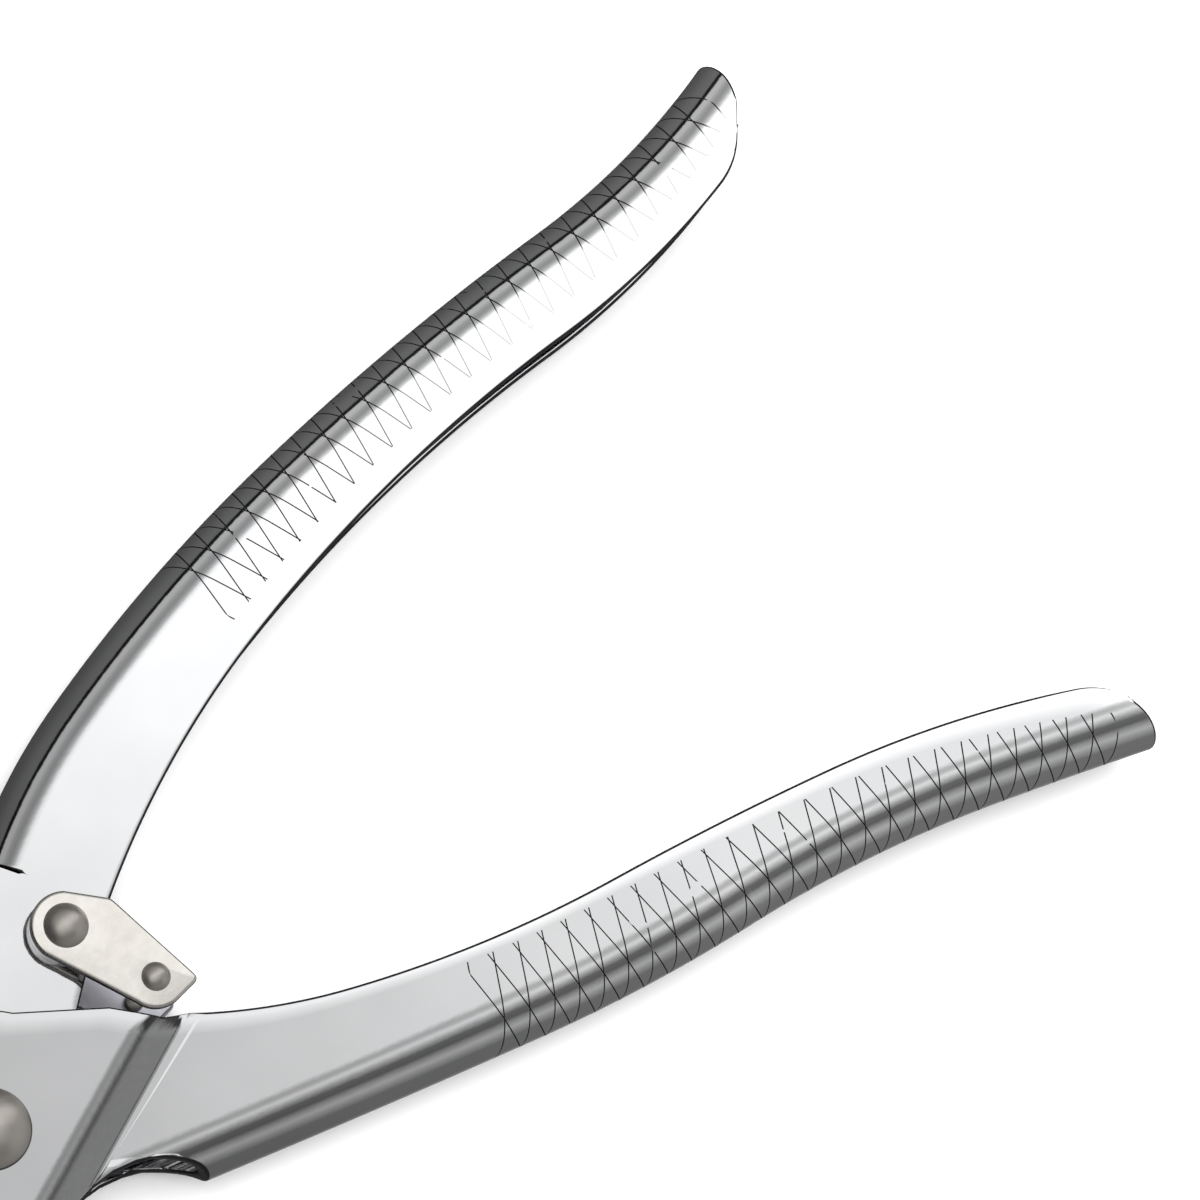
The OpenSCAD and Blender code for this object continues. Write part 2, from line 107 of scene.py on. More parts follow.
def along(chain, s):
    """Points and headings at distances s along a chain of tangent arcs: on each arc the heading
    grows evenly, and the point is the arc's start plus the chord the turn gives."""
    start, heading, arcs = chain
    s = np.asarray(s, float)
    points, headings = np.zeros(s.shape + (2,)), np.zeros(s.shape)
    at, head, begun = np.array(start, float), math.radians(heading), 0.0
    for i, (length, turn) in enumerate(arcs):
        bend = math.radians(turn) / length
        here = s >= begun - 1e-9 if i else np.ones(s.shape, bool)
        a = head + bend * (s[here] - begun)
        chord = np.stack([np.sin(a) - math.sin(head), math.cos(head) - np.cos(a)], -1)
        points[here], headings[here] = at + chord / bend, a
        end = head + bend * length
        at = at + np.array([math.sin(end) - math.sin(head), math.cos(head) - math.cos(end)]) / bend
        head, begun = end, begun + length
    return points, headings


def total(chain):
    """Length of a chain of arcs."""
    return sum(length for length, _ in chain[2])


def right_of(points, headings, d):
    """Points moved d to the right of their headings."""
    d = np.asarray(d)[..., None] if np.ndim(d) else d
    return points + d * np.stack([np.sin(headings), -np.cos(headings)], -1)


def back_line(handle, f, depth):
    """Points of the rolled back: fraction f along the spine, depth from it towards the open
    side. The start and the end of the roll shift with the square of the depth."""
    share = (depth / HALF_W) ** 2
    start = handle["back_from"][0] + (handle["back_from"][1] - handle["back_from"][0]) * share
    end = total(handle["spine"]) - handle["tip_pull"] * share
    points, headings = along(handle["spine"], start + (end - start) * f)
    return right_of(points, headings, handle["side"] * depth)


def spread(line, n):
    """n points spaced evenly along a line of points."""
    steps = np.r_[0, np.cumsum(np.linalg.norm(np.diff(line, axis=0), axis=1))]
    s = np.linspace(0, steps[-1], n)
    return np.stack([np.interp(s, steps, line[:, 0]), np.interp(s, steps, line[:, 1])], -1)


def arc(centre, r, a0, a1, n=40):
    """n points of a circle's arc."""
    return np.asarray(centre) + polar(r, np.linspace(a0, a1, n))


def turned_by(points, degrees):
    """Points turned about the main pivot."""
    c, s = math.cos(math.radians(degrees)), math.sin(math.radians(degrees))
    return points @ np.array([[c, s], [-s, c]])


def on_outer(points):
    """From the jaw's own axes, along and away from the parting line, to the outer handle."""
    return turned_by(points * [-1, 1], -PARTING)


def on_inner(points):
    """From the jaw's own axes to the inner handle."""
    return turned_by(points * [-1, -1], CLOSE_ANGLE - PARTING)


# ---- grids, sheets and solids ----
def across(a, b, columns):
    """Grid of straight lines from each point of a to its partner in b, with its columns at the
    given fractions of the way."""
    t = columns[None, :, None]
    return a[:, None] * (1 - t) + b[:, None] * t


def raised(plan, z):
    """A flat grid given its height."""
    return np.concatenate([plan, np.broadcast_to(z, plan.shape[:2])[..., None]], -1)


def grid_faces(rows, columns, first=0, flip=False):
    """Quads of a grid of rows by columns points."""
    i = first + np.arange(rows * columns).reshape(rows, columns)
    quads = np.stack([i[:-1, :-1], i[1:, :-1], i[1:, 1:], i[:-1, 1:]], -1).reshape(-1, 4)
    return quads[:, ::-1] if flip else quads


def facing(grid, out):
    """Whether the quads of a grid look along the outward vectors given for its points."""
    a, b = grid[1:, :-1] - grid[:-1, :-1], grid[:-1, 1:] - grid[:-1, :-1]
    return (np.cross(a, b) * np.broadcast_to(out, grid.shape)[:-1, :-1]).sum() > 0


def new_piece(name, points, faces, body, materials, nodes=(), uvs=None):
    """Makes a mesh object from points in millimetres about the middle plane."""
    mesh = bpy.data.meshes.new(name)
    place = (points + [0, 0, MID_Z]) * MM
    mesh.from_pydata(place.tolist(), [], faces.tolist() if hasattr(faces, "tolist") else faces)
    for label, uv in (uvs or {}).items():
        layer = mesh.uv_layers.new(name=label)
        index = np.zeros(len(mesh.loops), np.int32)
        mesh.loops.foreach_get("vertex_index", index)
        layer.data.foreach_set("uv", uv[index].astype(np.float32).ravel())
    for material in materials:
        mesh.materials.append(material)
    mesh.polygons.foreach_set("use_smooth", [True] * len(mesh.polygons))
    piece = bpy.data.objects.new(name, mesh)
    bpy.context.scene.collection.objects.link(piece)
    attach(piece, body)
    if nodes:
        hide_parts(*nodes)
    return piece


def weld(piece, gap=2e-6):
    """Merges points that coincide, such as those that two grids share."""
    work = bmesh.new()
    work.from_mesh(piece.data)
    bmesh.ops.remove_doubles(work, verts=work.verts, dist=gap)
    bmesh.ops.dissolve_degenerate(work, edges=work.edges, dist=gap)
    work.to_mesh(piece.data)
    work.free()


# ---- the two pressed handles ----
WALL_COLUMNS = np.r_[0, np.linspace(0.08, 1, 20)]
ROLL_COLUMNS = 32
JAW_ROWS, NECK_ROWS, CHEEK_ROWS = 60, 60, 150
GRIP_ROWS = np.linspace(0, 1, 221)
JOGGLE_ACROSS = JOGGLE_DIR + 90
FOOT_BEND, TOP_BEND = 0.5, 2.6
UNSCORED = -50.0
# The sheet's rounded edge: how far its corners draw back, and the steps from one skin to the
# other, as shares of the thickness and of the way out again
EDGE_ROUNDING = 0.3
RIM_PROFILE = ((0.02, 0.45), (0.08, 0.85), (0.2, 1), (0.8, 1), (0.92, 0.85), (0.98, 0.45))


def joggle_height(plan):
    """Height of the outer handle's front wall: level with the channel far from the pivot, then a
    ramp up to the cheek. The ramp's slope comes on and goes off evenly over a short bend."""
    c = plan @ polar(1.0, JOGGLE_ACROSS)
    slope = (CHEEK_OUT - HALF_W) / JOGGLE_W

    def bend(x, width):
        t = np.clip(x / width, -0.5, 0.5)
        return width * ((t + 0.5) ** 2 / 2) + np.maximum(x - width / 2, 0)
    foot, top = -JOGGLE_FAR, -JOGGLE_FAR + JOGGLE_W
    return HALF_W + slope * (bend(c - foot, FOOT_BEND) - bend(c - top, TOP_BEND))


def level_points(line, levels):
    """Where a line crosses given distances from the pivot, measured square to the joggle."""
    line = spread(line, 400)
    c = line @ polar(1.0, JOGGLE_ACROSS)
    order = np.argsort(c)
    return np.stack([np.interp(levels, c[order], line[order, k]) for k in (0, 1)], -1)


def outer_wall_lines():
    """Matched lines down the outer handle's front wall, from the jaw's nose to the grip's end:
    one along the jaw's back, the cheek's top and the channel's lip, the other along the nut
    side, the boss, the arch and the bend of the rolled back. Through the joggle the lines that
    join them run along its bends."""
    angles = np.linspace(JAW_FROM, JAW_TO, JAW_ROWS)
    jaw = [on_outer(NUT_C + polar(r, angles)) for r in (JAW_R - JAW_CORNER, JAW_EDGE_R)]
    lobe, lobe_r = (INNER_BOSS + 2.1) * BACK_OUT + 8 * BACK_DIR, 4.5
    cheek_end = [[20.2, 3.65], [23, 0.9], [25, -1]]
    top = np.concatenate([
        on_outer(NUT_C + polar(JAW_NECK_R, [JAW_TO])), arc(lobe, lobe_r, 128, 6),
        arc((0, 0), OUTER_BOSS, 72, 43), cheek_end, along(OUTER["lip"], np.linspace(0.5, 2, 12))[0]])
    bottom = np.concatenate([
        on_outer(NUT_C + polar(JAW_EDGE_R, np.linspace(JAW_TO, JAW_THROAT, 20))),
        arc((0, 0), OUTER_BOSS, 171.4, 270, 60), [[4.4, -13.1]],
        ARCH_C + ARCH_SIZE * polar(1.0, np.linspace(100, 92, 8))])
    levels = np.r_[np.linspace(-8.2, -10.8, 12), np.linspace(-11.3, -12.9, 4),
                   np.linspace(-13.1, -14.1, 12)]
    # Each line's points after the one with this number lie on the grips' side of the pivot
    last_before = {"top": 60, "bottom": 50}
    before, bends = [], []
    for line, last in ((top, last_before["top"]), (bottom, last_before["bottom"])):
        far = np.arange(len(line)) > last
        bend = level_points(line[far], levels)
        level = line @ polar(1.0, JOGGLE_ACROSS)
        before.append(np.concatenate([line[~(far & (level < levels[0]))], bend[:1]]))
        bends.append(bend[1:])
    grip_from, lip_end = 2.5, total(OUTER["lip"])
    grip = [along(OUTER["lip"], grip_from + (lip_end - grip_from) * GRIP_ROWS)[0],
            back_line(OUTER, GRIP_ROWS, np.full(GRIP_ROWS.shape, HALF_W))]
    lips, backs = (np.concatenate([jaw[k], spread(before[k], CHEEK_ROWS), bends[k], grip[k]])
                   for k in (0, 1))
    return lips, backs, angles


def inner_wall_lines():
    """Matched lines down the inner handle's front wall, as for the outer one. Its back is flat
    and open until the roll begins, where the wall is cut in to the bend."""
    angles = np.linspace(JAW_FROM, JAW_TO, JAW_ROWS)
    jaw = [on_inner(NUT_C + polar(r, angles)) for r in (JAW_R - JAW_CORNER, JAW_EDGE_R)]
    lip, spine = INNER["lip"], INNER["spine"]
    neck_at, neck_back_at = -62, 150
    root = [spread(np.concatenate(line), NECK_ROWS) for line in (
        [on_inner(NUT_C + polar(JAW_NECK_R, [JAW_TO])), arc((0, 0), INNER_BOSS, -90, neck_at)],
        [on_inner(NUT_C + polar(JAW_EDGE_R, np.linspace(JAW_TO, JAW_THROAT, 20))),
         arc((0, 0), INNER_BOSS, 192.7, neck_back_at)])]
    neck = [spread(np.concatenate(line), NECK_ROWS) for line in (
        [arc((0, 0), INNER_BOSS, neck_at, -41.7), [NECK_LIP]],
        [arc((0, 0), INNER_BOSS, neck_back_at, 130), [spine[0]]])]
    roll, cut_from, cut_to = INNER["back_from"][0], 12, 12.6
    flare = [along(lip, np.linspace(0, cut_from, 40))[0], along(spine, np.linspace(0, roll, 40))[0]]
    cut = [along(lip, np.linspace(cut_from, cut_to, 8))[0],
           right_of(*along(spine, np.full(8, roll)), np.linspace(0, HALF_W, 8))]
    grip = [along(lip, cut_to + (total(lip) - cut_to) * GRIP_ROWS)[0],
            back_line(INNER, GRIP_ROWS, np.full(GRIP_ROWS.shape, HALF_W))]
    lips, backs = (np.concatenate([jaw[k], root[k]] + [part[k][1:] for part in
                                                       (neck, flare, cut, grip)]) for k in (0, 1))
    return lips, backs, angles


def from_bend(handle, plan):
    """For each point of a flat grid, how far along the spine its nearest point of the roll's
    bend line lies, and its distance from there plus the quarter of the roll before it."""
    before, samples = 2, 1500
    s = np.linspace(handle["back_from"][1] - before, total(handle["spine"]), samples)
    line, headings = along(handle["spine"], s)
    line = right_of(line, headings, handle["side"] * HALF_W)
    flat = plan.reshape(-1, 2)
    near = ((flat[:, None] - line[None]) ** 2).sum(-1).argmin(1)
    step = flat - line[near]
    ahead = (step * polar(1.0, np.degrees(headings[near]))).sum(1)
    return np.stack([s[near] + ahead, HALF_W * math.pi / 2 + np.linalg.norm(step, axis=1)],
                    -1).reshape(plan.shape)


def half_round(handle, angles, r):
    """The rolled back: half a circle of radius r about the line HALF_W deep from the spine."""
    depth = HALF_W - r * np.cos(angles)
    return raised(back_line(handle, *np.broadcast_arrays(GRIP_ROWS[:, None], depth)),
                  r * np.sin(angles))


def roll_places(handle, angles):
    """Along the scored part and round the section, for each point of the rolled back."""
    share = (1 - np.cos(angles)) ** 2
    begin = handle["back_from"][0] + (handle["back_from"][1] - handle["back_from"][0]) * share
    finish = total(handle["spine"]) - handle["tip_pull"] * share
    return np.stack(np.broadcast_arrays(
        begin + (finish - begin) * GRIP_ROWS[:, None] - handle["scored"][0], HALF_W * angles), -1)


def jaw_back(place, half, angles, corner):
    """The jaw's U-shaped back about the nut space, with rounded corners of that radius."""
    t = np.linspace(0, math.pi / 2, 7)
    r = JAW_R - JAW_CORNER + corner * np.sin(t)
    z = half - JAW_CORNER + corner * np.cos(t)
    r, z = np.r_[r, r[::-1]], np.r_[z, -z[::-1]]
    plan = NUT_C + r[None, :, None] * polar(1.0, angles)[:, None]
    return raised(place(plan.reshape(-1, 2)).reshape(plan.shape), z[None])


def arch_web(handle, corner, roll, roll_in):
    """The bent web that joins the flat wall's corner to the first quarter of the rolled back,
    along the arch's ellipse."""
    x, level = np.array(handle["web"]).T
    y = ARCH_C[1] + ARCH_SIZE[1] * np.sqrt(1 - ((x - ARCH_C[0]) / ARCH_SIZE[0]) ** 2)
    low = np.concatenate([corner, np.stack([x, y, level], -1), roll[:1, 3]])
    low_in = np.concatenate([low[:-1] - [0, 0, SHEET], roll_in[:1, 3]])
    return np.stack([roll[0, :4], low], 1), np.stack([roll_in[0, :4], low_in], 1)


def pressed_handle(name, handle, wall_lines, place, half, height, body, node, skin):
    """One pressed channel as a skin of welded grids, each with its inner skin. The front wall is
    ruled between its matched lines; the roll carries a half circle along the spine; the jaw's
    back carries a rounded U about the nut space; the rear wall mirrors the front one."""
    lips, backs, jaw_angles = wall_lines()
    plan = across(lips, backs, WALL_COLUMNS)
    front = raised(plan, height(plan))
    grip = len(GRIP_ROWS)
    width = np.linalg.norm(lips - backs, axis=1)[:, None]
    scored_from, scored_to = handle["scored"]
    score = np.full(plan.shape, UNSCORED)
    score[-grip:] = from_bend(handle, plan[-grip:])
    score[..., 0] -= scored_from
    from_lip = np.stack([width * WALL_COLUMNS, scored_to - scored_from - score[..., 0]], -1)

    a = np.linspace(math.pi / 2, -math.pi / 2, ROLL_COLUMNS + 1)[None]
    roll, roll_in = half_round(handle, a, HALF_W), half_round(handle, a, HALF_IN)
    roll_score = roll_places(handle, a)
    roll_lip = np.stack([width[-grip:] + HALF_W * (math.pi / 2 - np.abs(a)),
                         scored_to - scored_from - roll_score[..., 0]], -1)
    ring, ring_in = (jaw_back(place, half, jaw_angles, corner)
                     for corner in (JAW_CORNER, JAW_CORNER - SHEET))

    def blank(grid):
        return np.full(grid.shape[:2] + (2,), UNSCORED)
    grids = [(front, front - [0, 0, SHEET], score, from_lip),
             (front * [1, 1, -1], front * [1, 1, -1] + [0, 0, SHEET], score * [1, -1], from_lip),
             (roll, roll_in, roll_score, roll_lip), (ring, ring_in, blank(ring), blank(ring))]
    if "web" in handle:
        web, web_in = arch_web(handle, front[-grip - 1, -1:], roll, roll_in)
        grids += [(web * [1, 1, z], web_in * [1, 1, z], blank(web), blank(web)) for z in (1, -1)]
    outer, inner, faces, scores, lips_uv, first = [], [], [], [], [], 0
    for grid, under, uv, lip_uv in grids:
        rows, columns = grid.shape[:2]
        faces.append(grid_faces(rows, columns, first, not facing(grid, grid - under)))
        for kept, values in ((outer, grid), (inner, under), (scores, uv), (lips_uv, lip_uv)):
            kept.append(values.reshape(rows * columns, -1))
        first += rows * columns
    return sheet_metal(name, *map(np.concatenate, (outer, inner, faces, scores, lips_uv)), body,
                       node, skin)


def sheet_metal(name, outer, inner, faces, scores, lips_uv, body, node, skin):
    """Closed sheet from an outer skin, its matching inner skin and their faces. Points that
    coincide are merged. Along every open edge both skins draw back by the rounding, and a strip
    with rounded corners joins them: it follows the sheet's thickness from one skin to the other
    and swells outwards, square to the edge, by the amount they drew back."""
    # Points this close are one; the other two stand for no length and for more than any side
    merge_gap, no_length, plenty = 0.002, 1e-12, 9.0
    _, keep, merged = np.unique(np.round(outer / merge_gap), axis=0, return_index=True,
                                return_inverse=True)
    outer, inner, scores, lips_uv = outer[keep], inner[keep], scores[keep], lips_uv[keep]
    faces = merged.reshape(-1)[faces]
    ahead = np.roll(faces, -1, 1)
    whole = (faces != ahead).sum(1) >= 3
    faces, ahead = faces[whole], ahead[whole]
    n = len(outer)
    # The open edges: those that only one face has
    edges = np.stack([faces, ahead], -1).reshape(-1, 2)
    owner = np.repeat(np.arange(len(faces)), 4)
    real = edges[:, 0] != edges[:, 1]
    edges, owner = edges[real], owner[real]
    code = edges.min(1) * n + edges.max(1)
    _, index, count = np.unique(code, return_inverse=True, return_counts=True)
    rim = count[index.reshape(-1)] == 1
    edges, owner = edges[rim], owner[rim]
    # The way out of the sheet at each of their points, as long as there is room to draw back
    corners = outer[faces[owner]]
    normal = np.cross(corners[:, 2] - corners[:, 0], corners[:, 3] - corners[:, 1])
    push = np.cross(outer[edges[:, 1]] - outer[edges[:, 0]], normal)
    push /= np.linalg.norm(push, axis=1)[:, None] + no_length
    out = np.zeros_like(outer)
    for k in (0, 1):
        np.add.at(out, edges[:, k], push)
    out /= np.linalg.norm(out, axis=1)[:, None] + no_length
    room = np.full(n, plenty)
    spans = np.linalg.norm(outer[faces] - outer[ahead], axis=2)
    shortest = np.where(spans > merge_gap / 2, spans, plenty).min(1)
    np.minimum.at(room, faces.reshape(-1), np.repeat(shortest, 4))
    out *= np.minimum(EDGE_ROUNDING, 0.8 * room)[:, None]
    # The strip between the skins, row by row
    on_rim = np.unique(edges)
    place = np.full(n, -1)
    place[on_rim] = np.arange(len(on_rim))
    base_o, base_i = outer[on_rim] - out[on_rim], inner[on_rim] - out[on_rim]
    outer, inner = outer.copy(), inner.copy()
    outer[on_rim], inner[on_rim] = base_o, base_i
    strips = [base_o + (base_i - base_o) * part + out[on_rim] * swell
              for part, swell in RIM_PROFILE]
    steps = len(strips)
    rows = [on_rim] + [2 * n + len(on_rim) * k + np.arange(len(on_rim)) for k in range(steps)]
    rows.append(n + on_rim)
    a, b = place[edges[:, 0]], place[edges[:, 1]]
    joins = [np.stack([rows[k][b], rows[k][a], rows[k + 1][a], rows[k + 1][b]], -1)
             for k in range(steps + 1)]
    quads = np.concatenate([faces, faces[:, ::-1] + n] + joins)
    cells = [list(dict.fromkeys(quad)) for quad in quads.tolist()]
    layers = {label: np.concatenate([uv, uv] + [uv[on_rim]] * steps)
              for label, uv in (("score", scores), ("lip", lips_uv))}
    piece = new_piece(name, np.concatenate([outer, inner] + strips), cells, body,
                      [skin, plated_inside, sheared_edge_painted_shade], [node], layers)
    # The skin's metal outside, the plain plating inside and the sheared metal on the rim, its
    # near-black colour painted shade along the edges
    metal = np.full(len(cells), 2, np.int32)
    metal[:len(faces)], metal[len(faces):2 * len(faces)] = 0, 1
    piece.data.polygons.foreach_set("material_index", metal)
    return piece


# ---- turned pieces and plates ----
def turned(name, axis, profile, body, material, nodes=(), around=72):
    """A turned piece: a profile of (radius, height) points carried round an upright axis. A
    profile that starts and ends on the axis closes by itself; any other is closed on itself."""
    profile = np.asarray(profile, float)
    ring = np.linspace(0, 2 * math.pi, around, endpoint=False)
    r, z = profile[:, 0][:, None], profile[:, 1][:, None]
    points = np.stack(np.broadcast_arrays(axis[0] + r * np.cos(ring), axis[1] + r * np.sin(ring),
                                          z), -1).reshape(-1, 3)
    n = len(profile)
    solid = profile[0, 0] == 0 and profile[-1, 0] == 0
    j = np.arange(around)
    pairs = range(n - 1) if solid else range(n)
    quads = np.concatenate([np.stack([k * around + j, k * around + (j + 1) % around,
                                      (k + 1) % n * around + (j + 1) % around,
                                      (k + 1) % n * around + j], -1) for k in pairs])
    piece = new_piece(name, points, quads, body, [material], nodes)
    weld(piece)
    return piece


def softened(corners, r, steps=4):
    """A profile with its corners rounded by r: each corner becomes a curve from r before it to
    r after it, drawn as a quadratic through the corner."""
    corners = np.asarray(corners, float)
    out = [corners[:1]]
    t = np.linspace(0, 1, steps)[:, None]
    for before, here, after in zip(corners[:-2], corners[1:-1], corners[2:]):
        u, w = before - here, after - here
        a = here + u / np.linalg.norm(u) * min(r, np.linalg.norm(u) / 2)
        b = here + w / np.linalg.norm(w) * min(r, np.linalg.norm(w) / 2)
        out.append((1 - t) ** 2 * a + 2 * t * (1 - t) * here + t ** 2 * b)
    out.append(corners[-1:])
    return np.concatenate(out)


def dome(r, h, z, steps=16):
    """Profile of a dome of radius r and height h above z, from its rim to its top."""
    ball = (r * r + h * h) / (2 * h)
    a = np.linspace(math.asin(min(1, r / ball)) if h < r else math.pi / 2, 0, steps)
    return np.stack([ball * np.sin(a), z + h - ball + ball * np.cos(a)], -1)


def plate(name, outline, z0, z1, edge, body, materials, nodes=()):
    """A flat plate with rounded rims: its outline is carried from the middle of one face, out
    over a quarter round, down the side and back to the middle of the other face. The second
    material is the side's."""
    rounding = 6
    before, after = np.roll(outline, 1, 0), np.roll(outline, -1, 0)
    run = after - before
    inward = np.stack([-run[:, 1], run[:, 0]], -1) / np.linalg.norm(run, axis=1)[:, None]
    a = np.linspace(math.pi / 2, 0, rounding)
    inset, level = edge * (1 - np.cos(a)), edge * (1 - np.sin(a))
    inset, level = np.r_[inset, inset[::-1]], np.r_[z1 - level, z0 + level[::-1]]
    rings = outline[None] + inset[:, None, None] * inward[None]
    points = np.concatenate([rings, np.broadcast_to(level[:, None, None],
                                                    rings.shape[:2] + (1,))], -1)
    count, n = rings.shape[:2]
    centre = outline.mean(0)
    points = np.concatenate([points.reshape(-1, 3), [[*centre, z1], [*centre, z0]]])
    j = np.arange(n)
    sides = [np.stack([k * n + j, (k + 1) * n + j, (k + 1) * n + (j + 1) % n,
                       k * n + (j + 1) % n], -1) for k in range(count - 1)]
    faces = np.concatenate(sides).tolist()
    last = (count - 1) * n
    faces += np.stack([j, (j + 1) % n, np.full(n, count * n)], -1).tolist()
    faces += np.stack([last + (j + 1) % n, last + j, np.full(n, count * n + 1)], -1).tolist()
    piece = new_piece(name, points, faces, body, materials, nodes)
    side = np.zeros(len(faces), np.int32)
    side[(rounding - 2) * n:(count - rounding + 1) * n] = 1
    piece.data.polygons.foreach_set("material_index", side)
    return piece


def corner(before, here, after, r, n=7):
    """Arc of radius r that rounds the corner here, between the points before and after it."""
    u = (before - here) / np.linalg.norm(before - here)
    w = (after - here) / np.linalg.norm(after - here)
    half = math.acos(u @ w) / 2
    centre = here + (u + w) / np.linalg.norm(u + w) * r / math.sin(half)
    start, end = here + u * r / math.tan(half) - centre, here + w * r / math.tan(half) - centre
    a0, a1 = math.atan2(start[1], start[0]), math.atan2(end[1], end[0])
    turn = (a1 - a0 + 3 * math.pi) % (2 * math.pi) - math.pi
    return centre + polar(r, np.degrees(np.linspace(a0, a0 + turn, n)))


CATCH_POS = polar(CATCH_REACH, CATCH_DIR)
STUD_POS = CATCH_POS + polar(CATCH_ARM, CATCH_LEAN)


def catch_outline():
    """Outline of a catch plate: round about its pivot, narrower at the stud, with a pointed
    thumb corner."""
    far = np.array([CATCH_ARM, 0.0])
    thumb, shoulder = np.array([CATCH_ARM + 4.6, 2.5]), np.array([3.0, 5.6])
    end, top = far + polar(CATCH_SMALL_R, -20), polar(CATCH_BIG_R, 122)
    line = np.concatenate([
        arc((0, 0), CATCH_BIG_R, 122, 264, 36), arc(far, CATCH_SMALL_R, -96, -20, 18),
        corner(end, thumb, shoulder, 0.7), corner(thumb, shoulder, top, 1.8)])
    points = 180
    line = spread(np.concatenate([line, line[:1]]), points + 1)[:-1]
    return CATCH_POS + turned_by(line, CATCH_LEAN)


# ---- materials ----
def material(name):
    """A new node material and its shader."""
    made = bpy.data.materials.new(name)
    made.use_nodes = True
    return made, made.node_tree.nodes["Principled BSDF"]


def add(tree, kind, **values):
    """A node with its settings; keys that name inputs set them."""
    node = tree.nodes.new(kind)
    for key, value in values.items():
        if key in node.inputs:
            node.inputs[key].default_value = value
        else:
            setattr(node, key, value)
    return node


def math_node(tree, operation, a, b=None, clamp=False):
    """A Math node whose inputs are sockets or numbers; returns its output."""
    node = tree.nodes.new("ShaderNodeMath")
    node.operation, node.use_clamp = operation, clamp
    for socket, value in zip(node.inputs, (a, b)):
        if isinstance(value, (int, float)):
            socket.default_value = value
        elif value is not None:
            tree.links.new(value, socket)
    return node.outputs[0]


def noise(tree, scale, detail=4.0, stretch=(1, 1, 1), turn=0.0, distortion=0.0):
    """Noise on object coordinates, with its scale per metre; returns its factor."""
    where = add(tree, "ShaderNodeTexCoord")
    place = add(tree, "ShaderNodeMapping")
    place.inputs["Scale"].default_value = stretch
    place.inputs["Rotation"].default_value = (0, 0, math.radians(turn))
    field = add(tree, "ShaderNodeTexNoise", Scale=scale, Detail=detail, Distortion=distortion)
    tree.links.new(where.outputs["Object"], place.inputs["Vector"])
    tree.links.new(place.outputs[0], field.inputs["Vector"])
    return field.outputs["Fac"]


def ramp(tree, factor, stops):
    """A colour ramp of (place, grey or colour) stops; returns its colour."""
    node = tree.nodes.new("ShaderNodeValToRGB")
    tree.links.new(factor, node.inputs["Fac"])
    elements = node.color_ramp.elements
    while len(elements) < len(stops):
        elements.new(0.5)
    for element, (place, value) in zip(elements, sorted(stops, key=lambda stop: stop[0])):
        element.position = place
        element.color = (value, value, value, 1) if isinstance(value, (int, float)) else (*value, 1)
    return node.outputs["Color"]


def bump(tree, shader, height, strength, distance):
    """Feeds a height to the shader's normal."""
    node = add(tree, "ShaderNodeBump", Strength=strength, Distance=distance)
    tree.links.new(height, node.inputs["Height"])
    tree.links.new(node.outputs[0], shader.inputs["Normal"])


# Spacing of the scored lines, of their crossings round the section, half a line's width, and the
# bare border along the lip, in millimetres
SCORE_PITCH, SCORE_ROW, SCORE_HALF, SCORE_LIP = 3.4, 6.6, 0.085, 3.4


def grip_places(tree):
    """Along the scored part, round the section, off the lip and before the scored part's end,
    all in millimetres."""
    out = []
    for layer in ("score", "lip"):
        uv = add(tree, "ShaderNodeUVMap", uv_map=layer)
        split = add(tree, "ShaderNodeSeparateXYZ")
        tree.links.new(uv.outputs[0], split.inputs[0])
        out += [split.outputs["X"], split.outputs["Y"]]
    return out


def score_lines(tree, x, y, off_lip, left):
    """Scored crosshatch, 1 on a line and 0 off it. Two families of lines lean to either side of
    straight across the grip; they cross on the spine and every SCORE_ROW from it, start
    SCORE_LIP from the lip and fade in places."""
    lines = []
    for sign in (1, -1):
        tilt = math_node(tree, "MULTIPLY", y, sign * SCORE_PITCH / (2 * SCORE_ROW))
        place = math_node(tree, "DIVIDE", math_node(tree, "ADD", x, tilt), SCORE_PITCH)
        near = math_node(tree, "PINGPONG", place, 0.5)
        lines.append(math_node(tree, "LESS_THAN", near, SCORE_HALF / SCORE_PITCH))
    line = math_node(tree, "MAXIMUM", *lines)
    for value, edge in ((x, 0.0), (off_lip, SCORE_LIP), (left, 0.0)):
        line = math_node(tree, "MULTIPLY", line, math_node(tree, "GREATER_THAN", value, edge))
    worn = math_node(tree, "GREATER_THAN", noise(tree, 260, 2), 0.33)
    return math_node(tree, "MULTIPLY", line, worn)


def mixed(tree, factor, a, b):
    """A colour mix of two colours or sockets; returns its colour."""
    node = tree.nodes.new("ShaderNodeMix")
    node.data_type = "RGBA"
    tree.links.new(factor, node.inputs["Factor"])
    for label, value in (("A", a), ("B", b)):
        socket = [s for s in node.inputs if s.name == label and s.type == "RGBA"][0]
        if hasattr(value, "links"):
            tree.links.new(value, socket)
        else:
            socket.default_value = (*value, 1)
    return [s for s in node.outputs if s.type == "RGBA"][0]


def multiplied(tree, a, b):
    """The product of two colours; returns its colour."""
    node = tree.nodes.new("ShaderNodeVectorMath")
    node.operation = "MULTIPLY"
    tree.links.new(a, node.inputs[0])
    tree.links.new(b, node.inputs[1])
    return node.outputs["Vector"]


